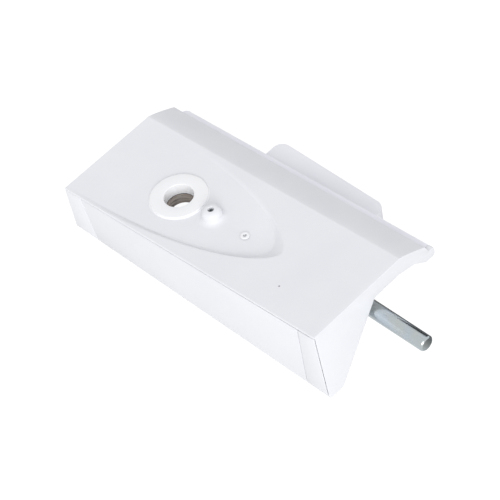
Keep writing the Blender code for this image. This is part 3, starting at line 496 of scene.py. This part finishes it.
def shoulder(t, inset=0.0):
    """Rear shoulder at share t of its run: it drops by t ** power, moved square to itself by the inset."""
    slope = SHOULDER_POWER * SHOULDER_DROP / SHOULDER_RUN * t ** (SHOULDER_POWER - 1)
    size = np.hypot(1, slope)
    y = PLATE_DEPTH + SHOULDER_RUN * t - inset * slope / size
    return np.stack([y, -SHOULDER_DROP * t**SHOULDER_POWER - inset / size], -1)


def inward(outline):
    """Step of each corner of an outline for an inset of 1: along its miter, (n1 + n2) / (1 + n1 . n2)."""
    ahead = np.roll(outline, -1, 0) - outline
    ahead /= np.linalg.norm(ahead, axis=1, keepdims=True)
    normal = np.stack([ahead[:, 1], -ahead[:, 0]], -1)
    area = (outline[:, 0] * np.roll(outline[:, 1], -1) - np.roll(outline[:, 0], -1) * outline[:, 1]).sum()
    normal *= np.sign(area)
    before = np.roll(normal, 1, 0)
    return -(before + normal) / np.maximum(1 + (before * normal).sum(1, keepdims=True), 0.5)


EDGE = 0.35 * MM
END_ROUND = 0.28 * MM
flat_y = np.linspace(EDGE, PLATE_DEPTH, 160)
TOP = np.concatenate([
    arc((EDGE, -EDGE), EDGE, 180, 90, 6)[:-1],
    np.stack([flat_y, np.zeros_like(flat_y)], -1),
    shoulder(np.linspace(0, 1, 36)[1:-1]),
])
LIP = np.concatenate([
    arc((LIP_Y - 2.42 * MM, -SHOULDER_DROP - 0.24 * MM), 0.28 * MM, 60, 26, 4),
    arc((LIP_Y - 0.3 * MM, LIP_Z + 0.3 * MM), 0.3 * MM, 0, -90, 4),
    [(LIP_Y - LIP_WALL, LIP_Z)],
])
BEHIND_SKIRT = SKIRT_WALL + 0.3 * MM
UNDER = np.concatenate([
    shoulder(np.linspace(1, 0, 12), PLATE_WALL),
    [(BEHIND_SKIRT, -PLATE_WALL), (BEHIND_SKIRT, -FRONT_LIP), (0, -FRONT_LIP)],
])
SECTION = np.concatenate([TOP, LIP, UNDER])


def case_plate():
    """The plate's closed section carried along x, with the oval pressed down into its top points.  At both
    ends the outer points draw in by round * (1 - cos) while x goes by round * (1 - sin)."""
    turn = np.radians(np.linspace(90, 0, 6))[:-1]
    fine = np.linspace(END_ROUND, 118.5 * MM, 276)
    coarse = np.linspace(118.5 * MM, CASE_LENGTH - END_ROUND, 18)[1:]
    end_x, end_inset = END_ROUND * (1 - np.sin(turn)), END_ROUND * (1 - np.cos(turn))
    x = np.concatenate([end_x, fine, coarse, CASE_LENGTH - end_x[::-1]])[:, None]
    drawn_in = np.concatenate([end_inset, np.zeros(len(fine) + len(coarse)), end_inset[::-1]])[:, None]
    step = inward(SECTION)
    step[len(TOP) + len(LIP) - 1:] = 0
    y = SECTION[None, :, 0] + drawn_in * step[None, :, 0]
    z = SECTION[None, :, 1] + drawn_in * step[None, :, 1]
    top = len(TOP)
    z[:, :top] -= sunk(np.broadcast_to(x, (len(x), top)), y[:, :top]) * (SECTION[:top, 1] > -EDGE * 1.1)
    loops = np.stack([np.broadcast_to(x, y.shape), y, z], -1)
    vertices, faces = tube_between(loops)
    plate = new_piece("case_plate", to_row(vertices), faces, white_plastic, "white_plastic", sharp=40.0)
    face_out(plate)
    return plate


plate = case_plate()
BORE = 7.3 * MM
BOSS_RADIUS = 14.25 * MM
SLEEVE = 11.6 * MM
DOME = np.array([73.0, 28.2]) * MM
EYELET = np.array([94.2, 28.2]) * MM
VENT = np.array([130.2, 13.9]) * MM
for label, centre, radius, low in (
    ("bore cut", BOSS, BORE + 2.0 * MM, -6.0 * MM),
    ("pinhole cut", DOME, 2.2 * MM, -6.0 * MM),
    ("eyelet cut", EYELET, 1.8 * MM, -6.0 * MM),
    ("vent cut", VENT, 0.5 * MM, -1.2 * MM),
):
    cut = tube_between(turned_loops([(radius, low), (radius, 5 * MM)], 64, centre))
    combine(plate, helper(label, to_row(cut[0]), cut[1]), "DIFFERENCE")
plate.data.shade_smooth()
plate.data.set_sharp_from_angle(angle=math.radians(40))
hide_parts("housing_shell")


def footed(name, profile, centre, material, steps=128):
    """A turned body on the sloping floor: each profile point is (radius, height, weight), and its z is the
    height plus the weight times the floor's level under it."""
    profile = np.asarray(profile, float)
    loops = turned_loops(profile[:, :2], steps, centre)
    level = -sunk(loops[..., 0], loops[..., 1])
    loops[..., 2] += profile[:, 2:3] * level
    faces = grid_faces(*loops.shape[:2], wrap_rows=True, wrap_columns=True)
    piece = new_piece(name, to_row(loops.reshape(-1, 3)), faces, material, "white_plastic", sharp=42.0)
    face_out(piece)
    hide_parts("housing_shell")
    return piece


def with_weight(points, weight):
    points = np.asarray(points, float)
    return np.column_stack([points, np.full(len(points), weight)])


BOSS_TOP = 1.0 * MM - float(floor_depth(BOSS[0]))
SLEEVE_END = BOSS_TOP - 6.2 * MM
foot = 0.9 * MM
boss_profile = np.concatenate([
    with_weight(arc((BORE + 0.45 * MM, BOSS_TOP - 0.45 * MM), 0.45 * MM, 180, 90, 6), 0),
    with_weight(arc((BOSS_RADIUS - 0.3 * MM, BOSS_TOP - 0.3 * MM), 0.3 * MM, 90, 0, 5), 0),
    with_weight(arc((BOSS_RADIUS + foot * 0.6, foot * 0.6), foot * 0.6, 180, 262, 7), 1),
    with_weight([(BOSS_RADIUS + foot, -0.25 * MM), (BOSS_RADIUS, -2.2 * MM)], 1),
    with_weight([(SLEEVE, -PLATE_WALL + 0.4 * MM), (SLEEVE, SLEEVE_END), (BORE, SLEEVE_END)], 0),
])
footed("crank_boss", boss_profile, BOSS, boss_white)

DOME_RADIUS = 5.1 * MM
DOME_HEIGHT = 5.2 * MM
FLARE = 2.8 * MM
FOOT_SHARE = 0.27
PINHOLE = 1.5 * MM
flare_turn = np.radians(np.linspace(0, 88, 14))
flare_height = FOOT_SHARE * DOME_HEIGHT * (1 - np.cos(flare_turn))
flare = np.stack([DOME_RADIUS + FLARE * (1 - np.sin(flare_turn)), flare_height], -1)
cap_turn = np.radians(np.linspace(4, 82, 22))
cap_height = DOME_HEIGHT * (FOOT_SHARE + (1 - FOOT_SHARE) * np.sin(cap_turn))
cap = np.stack([DOME_RADIUS * np.cos(cap_turn) ** 0.5, cap_height], -1)
lip_height = DOME_HEIGHT * 0.995
dome_profile = np.concatenate([
    with_weight([(DOME_RADIUS + FLARE, -0.6 * MM)], 1),
    with_weight(flare, 1),
    with_weight(cap, 1),
    with_weight(arc((PINHOLE + 0.25 * MM, lip_height - 0.25 * MM), 0.25 * MM, 80, 180, 5), 1),
    with_weight([(PINHOLE, -PLATE_WALL + 0.3 * MM), (DOME_RADIUS, -PLATE_WALL + 0.3 * MM)], 0),
])
footed("adjuster_dome", dome_profile, DOME, white_plastic)

# ---------------------------------------------------------------- end walls
UNDER_TOP = 0.4 * MM   # the walls start this far inside the plate
FLUSH = 0.02 * MM      # and stand this little behind its ends
SLOT_INNER = 0.75 * MM   # the slot beside the skirt's right end, from the case's end
SLOT_OUTER = 0.38 * MM


def end_wall_outline(x, hook):
    """A line inside the plate and its shoulder, the hook round the rear strip or none, the rim under the
    plate, and the slanting gusset down to its toe."""
    toe = case_height(x, 0.0)
    slant = math.radians(49.6)
    toe_y = max(38.9 * MM - (-END_RIM - toe) / math.tan(slant), 5.5 * MM)
    corners = [(0.6 * MM, -UNDER_TOP)] + [tuple(p) for p in shoulder(np.linspace(0, 0.93, 20), UNDER_TOP)]
    radii = [0.0] * len(corners)
    corners.append((LIP_Y - 3.0 * MM, -SHOULDER_DROP - 1.6 * MM))
    radii.append(0.4 * MM)
    if hook:
        low = LIP_Z - 4.9 * MM
        corners += [(LIP_Y - 0.9 * MM, LIP_Z), (STRIP_Y, LIP_Z), (STRIP_Y, low), (LIP_Y - LIP_WALL, low)]
        corners.append((66.0 * MM, -11.4 * MM))
        radii += [0.0, 0.9 * MM, 1.9 * MM, 1.5 * MM, 6 * MM]
    else:
        corners += [(LIP_Y - 0.9 * MM, LIP_Z + 0.3 * MM), (LIP_Y - LIP_WALL, LIP_Z - 0.1 * MM)]
        corners.append((65.0 * MM, -10.6 * MM))
        radii += [0.4 * MM, 0.5 * MM, 6 * MM]
    corners += [(PLATE_DEPTH - 2 * MM, -END_RIM), (38.9 * MM, -END_RIM), (toe_y, toe), (0.6 * MM, toe)]
    radii += [8 * MM, 4 * MM, 2.2 * MM, 2.0 * MM]
    return rounded_outline(corners, radii, 8)


def end_wall(name, inner, outer, hook):
    """The outline at stations from the inner face to the outer one, which ends in a quarter round."""
    outline = end_wall_outline(outer, hook)
    turn = np.radians(np.linspace(0, 90, 6))
    side = np.sign(outer - inner)
    stations = np.concatenate([[inner], outer - side * END_ROUND * (1 - np.sin(turn))])
    insets = np.concatenate([[0.0], END_ROUND * (1 - np.cos(turn))])
    step = inward(outline)
    loops = []
    for x, distance in zip(stations, insets):
        loops.append(np.column_stack([np.full(len(outline), x), outline + step * distance]))
    vertices, faces = tube_between(np.stack(loops))
    wall = new_piece(name, to_row(vertices), faces, white_plastic, "white_plastic", sharp=50.0)
    face_out(wall)
    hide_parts("housing_shell")
    return wall


wall = end_wall("end_wall_right", CASE_LENGTH - END_WALL, CASE_LENGTH - FLUSH, True)
slot_yz = np.array([(-1.0, -60.0), (3.2, -60.0), (3.2, 0.0), (-1.0, 0.0)]) * MM
slot = [np.column_stack([np.full(4, CASE_LENGTH - back), slot_yz]) for back in (SLOT_INNER, SLOT_OUTER)]
slot_vertices, slot_faces = tube_between(np.stack(slot))
combine(wall, helper("skirt_slot", to_row(slot_vertices), slot_faces), "DIFFERENCE")
wall.data.shade_smooth()
wall.data.set_sharp_from_angle(angle=math.radians(50))
end_wall("end_wall_left", END_WALL, FLUSH, False)

# Pillars under the plate: two square to it for the bearing plate, four upright on the block
base_top = 16.45 * MM
for index in (1, 2):
    low, high = box_of(f"bearing_screw_{index}")
    centre = (low + high) / 2
    start = (centre - CASE_ZERO) @ ALONG, (centre - CASE_ZERO) @ ACROSS
    pillar = turned_loops([(3.0 * MM, -10.05 * MM), (3.0 * MM, -PLATE_WALL + 0.2 * MM)], 48, start)
    vertices, faces = tube_between(pillar)
    piece = new_piece(f"bearing_pillar_{index}", to_row(vertices), faces, white_plastic, "white_plastic")
    face_out(piece)
    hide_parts("housing_shell")
for index in (1, 2, 3, 4):
    low, high = box_of(f"case_screw_{index}")
    x, y = (low[0] + high[0]) / 2, (low[1] + high[1]) / 2
    case_x, case_y = x - CASE_ZERO[0], y - CASE_ZERO[1]
    beyond = max(0.0, (case_y - PLATE_DEPTH) / SHOULDER_RUN)
    top = CASE_ZERO[2] + case_x * math.tan(SLOPE) - PLATE_WALL * 0.7 - SHOULDER_DROP * beyond**SHOULDER_POWER
    loops = turned_loops([(3.4 * MM, base_top + 0.3 * MM), (3.4 * MM, top)], 48, (x, y))
    vertices, faces = tube_between(loops)
    piece = new_piece(f"case_pillar_{index}", vertices, faces, white_plastic, "white_plastic")
    face_out(piece)
    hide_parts("housing_shell")

# ---------------------------------------------------------------- skirt
TAB_DEPTH = 5.0 * MM
TAB_WALL = 1.8 * MM


def skirt_top(x):
    """Height of the skirt's top edge: the gap under the plate's lip widens evenly with x."""
    return -FRONT_LIP - (0.5 + 0.65 * x / CASE_LENGTH) * MM


def skirt(name, corners, node_name):
    """Front wall with all edges rounded, and the tab behind it under the plate."""
    outline = [(x, skirt_top(x)) for x in corners[:2]]
    outline += [(x, case_height(x, SKIRT_LIFT)) for x in corners[2:]]
    wall = slab(name, outline, "Y", 0.0, SKIRT_WALL, white_plastic, "white_plastic", 0.28 * MM)
    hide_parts(node_name)
    left = max(corners[0] + 0.3 * MM, END_WALL + 0.3 * MM)
    right = min(corners[1] - 1.8 * MM, CASE_LENGTH - END_WALL - 0.3 * MM)
    tab_top = -PLATE_WALL - 0.3 * MM
    front, back, tab_low = SKIRT_WALL - 0.2 * MM, SKIRT_WALL + TAB_DEPTH, tab_top - TAB_WALL
    tab = [(front, tab_top), (back, tab_top), (back, tab_low), (front, tab_low)]
    piece = slab(f"{name}_tab", tab, "X", left, right, white_plastic, "white_plastic", 0.25 * MM)
    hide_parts(node_name)


GAP = 0.4 * MM   # between neighbouring skirt pieces
right_end = CASE_LENGTH - SLOT_INNER
left_top, left_foot = 11.2 * MM, 15.0 * MM
right_top, right_foot = CASE_LENGTH - 10.7 * MM, CASE_LENGTH - 13.3 * MM
skirt("corner_left", (0.0, left_top - GAP, left_foot - GAP, 0.0), "skirt_corner_left")
skirt("front_skirt_face", (left_top, right_top - GAP, right_foot - GAP, left_foot), "front_skirt")
skirt("corner_right", (right_top, right_end, right_end, right_foot), "skirt_corner_right")

# ---------------------------------------------------------------- rear strip, block, lugs
strip_left, strip_right = 1.4 * MM, CASE_LENGTH - END_WALL - 0.3 * MM
strip_front = STRIP_Y - 10 * MM
strip_top = LIP_Z - 0.3 * MM
strip_low = strip_top - 3.1 * MM
strip_outline = rounded_outline(
    [(strip_left, strip_front), (strip_right, strip_front), (strip_right, STRIP_Y), (strip_left, STRIP_Y)],
    [0, 0, 0, 3.0 * MM],
)
strip = slab(
    "rear_strip_face", strip_outline, "Z", strip_low, strip_top, strip_white_painted_light, "white_plastic", 0.5 * MM
)
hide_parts("rear_strip")

block_x, block_y = box_of("mounting_block")[1, :2]
block_corners = [(-block_x, -block_y), (block_x, -block_y), (block_x, block_y), (-block_x, block_y)]
block_outline = rounded_outline(block_corners, 5.5 * MM, 12)
block = slab(
    "block_body", block_outline, "Z", 0.0, base_top, block_white_painted_light, "white_plastic", 0.55 * MM, False, 4
)
rod_low, rod_high = box_of("drive_rod")
rod_y, rod_z = (rod_low[1] + rod_high[1]) / 2, (rod_low[2] + rod_high[2]) / 2
lug_half = 9.3 * MM
lug_front, lug_back = rod_y - lug_half, rod_y + lug_half
lug_low, lug_top = base_top - 2 * MM, rod_z + 7.7 * MM
for index, right in ((1, block_x), (2, block_x - 14.6 * MM)):
    lug_outline = rounded_outline(
        [(lug_front, lug_low), (lug_back, lug_low), (lug_back, lug_top), (lug_front, lug_top)],
        [0, 0, 3.2 * MM, 3.2 * MM],
    )
    lug = slab(
        f"lug {index}", lug_outline, "X", right - 6 * MM, right, block_white_painted_light, "white_plastic", 0.3 * MM, False
    )
    combine(block, lug, "UNION")


def turned_x(profile, steps, y, z):
    """A profile of (x, radius) spun about the line through (y, z) along x: y + r cos, z + r sin."""
    profile = np.asarray(profile, float)
    angle = np.linspace(0, 2 * math.pi, steps, endpoint=False)
    loops = np.stack(
        [
            np.repeat(profile[:, :1], steps, 1),
            y + profile[:, 1:2] * np.cos(angle),
            z + profile[:, 1:2] * np.sin(angle),
        ],
        -1,
    )
    return tube_between(loops)


lug_bore = 6.1 * MM
cut = turned_x([(block_x - 25 * MM, lug_bore), (block_x + 3 * MM, lug_bore)], 64, rod_y, rod_z)
combine(block, helper("lug bore", *cut), "DIFFERENCE")
head_hole, shank_hole, head_depth = 3.2 * MM, 1.8 * MM, 8 * MM
screw_hole = [(head_hole, -2 * MM), (head_hole, head_depth), (shank_hole, head_depth), (shank_hole, 30 * MM)]
for index in (1, 2, 3, 4):
    low, high = box_of(f"case_screw_{index}")
    x, y = (low[0] + high[0]) / 2, (low[1] + high[1]) / 2
    cut = tube_between(turned_loops(screw_hole, 48, (x, y)))
    combine(block, helper(f"screw hole {index}", *cut), "DIFFERENCE")
block.data.shade_smooth()
block.data.set_sharp_from_angle(angle=math.radians(40))
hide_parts("mounting_block")

# ---------------------------------------------------------------- rod
chamfer = 0.6 * MM
radius = (rod_high[2] - rod_low[2]) / 2
rod_x = np.linspace(rod_low[0] + 2 * MM, rod_high[0] - chamfer - 0.4 * MM, 24)
rod_profile = np.concatenate([
    [(rod_low[0], radius - 0.3 * MM), (rod_low[0] + 0.3 * MM, radius)],
    np.stack([rod_x, np.full(len(rod_x), radius)], -1),
    [(rod_high[0] - chamfer - 0.15 * MM, radius - 0.02 * MM), (rod_high[0] - chamfer, radius - 0.08 * MM)],
    [(rod_high[0] - 0.1 * MM, radius - chamfer + 0.04 * MM), (rod_high[0], radius - chamfer - 0.08 * MM)],
])
rod_mesh = turned_x(rod_profile, 96, rod_y, rod_z)
rod = new_piece("bolt_rod", *rod_mesh, zinc_bright, "zinc_plate", "bolt", 30.0)
face_out(rod)
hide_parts("drive_rod")

# ---------------------------------------------------------------- threaded bush
PITCH = 2.0 * MM
CREST = 6.3 * MM
THREAD = 0.9 * MM
BUSH_RADIUS = 8.8 * MM
bush_top = SLEEVE_END - 0.3 * MM
bush_low = bush_top - 5.9 * MM


def threaded_bush():
    """Inner wall: crest + depth * a flat-topped wave of z / pitch - angle / (2 pi), cones at the mouths."""
    steps = 144
    angle = np.linspace(0, 2 * math.pi, steps, endpoint=False)[None, :]
    z = np.linspace(bush_low, bush_top, 84)[:, None]
    phase = (z / PITCH - angle / (2 * math.pi)) % 1.0
    wave = np.clip(np.abs(2 * phase - 1) * 1.3 - 0.15, 0, 1)
    radius = CREST + THREAD * wave
    mouth = np.maximum(CREST + THREAD - np.minimum(z - bush_low, bush_top - z), 0)
    radius = np.maximum(radius, mouth)
    inner = np.stack([radius * np.cos(angle), radius * np.sin(angle), np.broadcast_to(z, radius.shape)], -1)
    edge = 0.1 * MM
    outside = [(BUSH_RADIUS - edge, bush_top), (BUSH_RADIUS, bush_top - edge)]
    outside += [(BUSH_RADIUS, bush_low + edge), (BUSH_RADIUS - edge, bush_low)]
    outer = turned_loops(outside, steps)
    loops = np.concatenate([inner, outer])
    loops[..., :2] += BOSS
    faces = grid_faces(*loops.shape[:2], wrap_rows=True, wrap_columns=True)
    vertices = to_row(loops.reshape(-1, 3))
    bush = new_piece("threaded_bush", vertices, faces, steel_turned, "plain_steel", "crank_drive", 32.0)
    face_out(bush)
    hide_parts("crank_bush")


threaded_bush()

# ---------------------------------------------------------------- floor, light, camera
def math_node(tree, operation, first, second):
    made = node(tree, "ShaderNodeMath", operation=operation)
    for socket, value in zip(made.inputs, (first, second)):
        if isinstance(value, bpy.types.NodeSocket):
            tree.links.new(value, socket)
        else:
            socket.default_value = value
    return made.outputs[0]


def dot(tree, vector, direction):
    made = node(tree, "ShaderNodeVectorMath", operation="DOT_PRODUCT")
    made.inputs[1].default_value = direction
    tree.links.new(vector, made.inputs[0])
    return made.outputs["Value"]


def pale_floor():
    """White to the camera, dimmer as a light, and dark behind the unit for what mirrors in the rod."""
    made = bpy.data.materials.new("pale_floor")
    made.use_nodes = True
    tree = made.node_tree
    shader = tree.nodes["Principled BSDF"]
    shader.inputs["Base Color"].default_value = (0.16, 0.16, 0.16, 1)
    shader.inputs["Roughness"].default_value = 0.9
    shader.inputs["Specular IOR Level"].default_value = 0.0
    shader.inputs["Emission Color"].default_value = (1, 1, 1, 1)
    path = node(tree, "ShaderNodeLightPath")
    place = node(tree, "ShaderNodeNewGeometry").outputs["Position"]
    behind = remap(tree, dot(tree, place, (0, 1, 0)), -0.016, -0.008, 0.0, 1.0)
    dark = math_node(tree, "MULTIPLY", path.outputs["Is Glossy Ray"], behind)
    glow = remap(tree, path.outputs["Is Camera Ray"], 0.0, 1.0, FLOOR_GLOW, CAMERA_GLOW)
    strength = math_node(tree, "MULTIPLY", glow, math_node(tree, "SUBTRACT", 1.0, dark))
    tree.links.new(strength, shader.inputs["Emission Strength"])
    return made


FLOOR_GLOW = 0.72
CAMERA_GLOW = 0.92
SKY = (0.874, 0.874, 0.882, 1)
CARD = (0.03, 0.03, 0.03, 1)

size = 8.0
low = -0.3 * MM
floor_mesh = bpy.data.meshes.new("floor")
corners = [(-size, -size, low), (size, -size, low), (size, size, low), (-size, size, low)]
floor_mesh.from_pydata(corners, [], [(0, 1, 2, 3)])
floor_mesh.materials.append(pale_floor())
floor = bpy.data.objects.new("floor", floor_mesh)
bpy.context.scene.collection.objects.link(floor)

# An even sky, and a dark card behind the unit that only mirrored rays see: it draws the rod's dark stripe
world = bpy.data.worlds.new("studio")
bpy.context.scene.world = world
world.use_nodes = True
sky = world.node_tree
place = node(sky, "ShaderNodeTexCoord").outputs["Generated"]
aside = math_node(sky, "ABSOLUTE", dot(sky, place, (0.864, 0.503, 0.0)), 0.0)
across_card = remap(sky, aside, 0.30, 0.38, 1.0, 0.0)
ahead_card = remap(sky, dot(sky, place, (-0.503, 0.864, 0.0)), 0.0, 0.1, 0.0, 1.0)
under_top = remap(sky, dot(sky, place, (0.0, 0.0, 1.0)), 0.55, 0.60, 1.0, 0.0)
card = math_node(sky, "MULTIPLY", math_node(sky, "MULTIPLY", across_card, ahead_card), under_top)
card = math_node(sky, "MULTIPLY", card, node(sky, "ShaderNodeLightPath").outputs["Is Glossy Ray"])
sky.links.new(mix_colour(sky, card, SKY, CARD), sky.nodes["Background"].inputs["Color"])

sun_data = bpy.data.lights.new("soft_key", "SUN")
sun_data.energy = 1.46
sun_data.angle = math.radians(30)
sun = bpy.data.objects.new("soft_key", sun_data)
bpy.context.scene.collection.objects.link(sun)
sun.rotation_euler = Vector((0.27, -0.22, 0.16)).to_track_quat("Z", "Y").to_euler()

AZIMUTH, ELEVATION, ROLL = map(math.radians, (54.692, 46.022, -14.98))
reach = math.cos(ELEVATION)
back = np.array([reach * math.sin(AZIMUTH), -reach * math.cos(AZIMUTH), math.sin(ELEVATION)])
level = np.array([math.cos(AZIMUTH), math.sin(AZIMUTH), 0.0])
upright = np.cross(back, level)
right = level * math.cos(ROLL) + upright * math.sin(ROLL)
up = upright * math.cos(ROLL) - level * math.sin(ROLL)
target = np.array([0.5, 0.2, -0.1]) * CASE_LENGTH
eye = target + (back * 8.0411 + right * 0.0285 - up * 0.026) * CASE_LENGTH
turn = np.stack([ALONG, ACROSS, TURN_AXIS], 1)
camera_data = bpy.data.cameras.new("camera")
camera_data.lens = 203.2
camera_data.sensor_width = 36.0
camera_data.clip_end = 50.0
camera = bpy.data.objects.new("camera", camera_data)
bpy.context.scene.collection.objects.link(camera)
matrix = np.eye(4)
matrix[:3, 0], matrix[:3, 1], matrix[:3, 2] = turn @ right, turn @ up, turn @ back
matrix[:3, 3] = to_row(eye)
camera.matrix_world = Matrix(matrix.tolist())
bpy.context.scene.camera = camera
bpy.context.scene.view_settings.view_transform = "Standard"
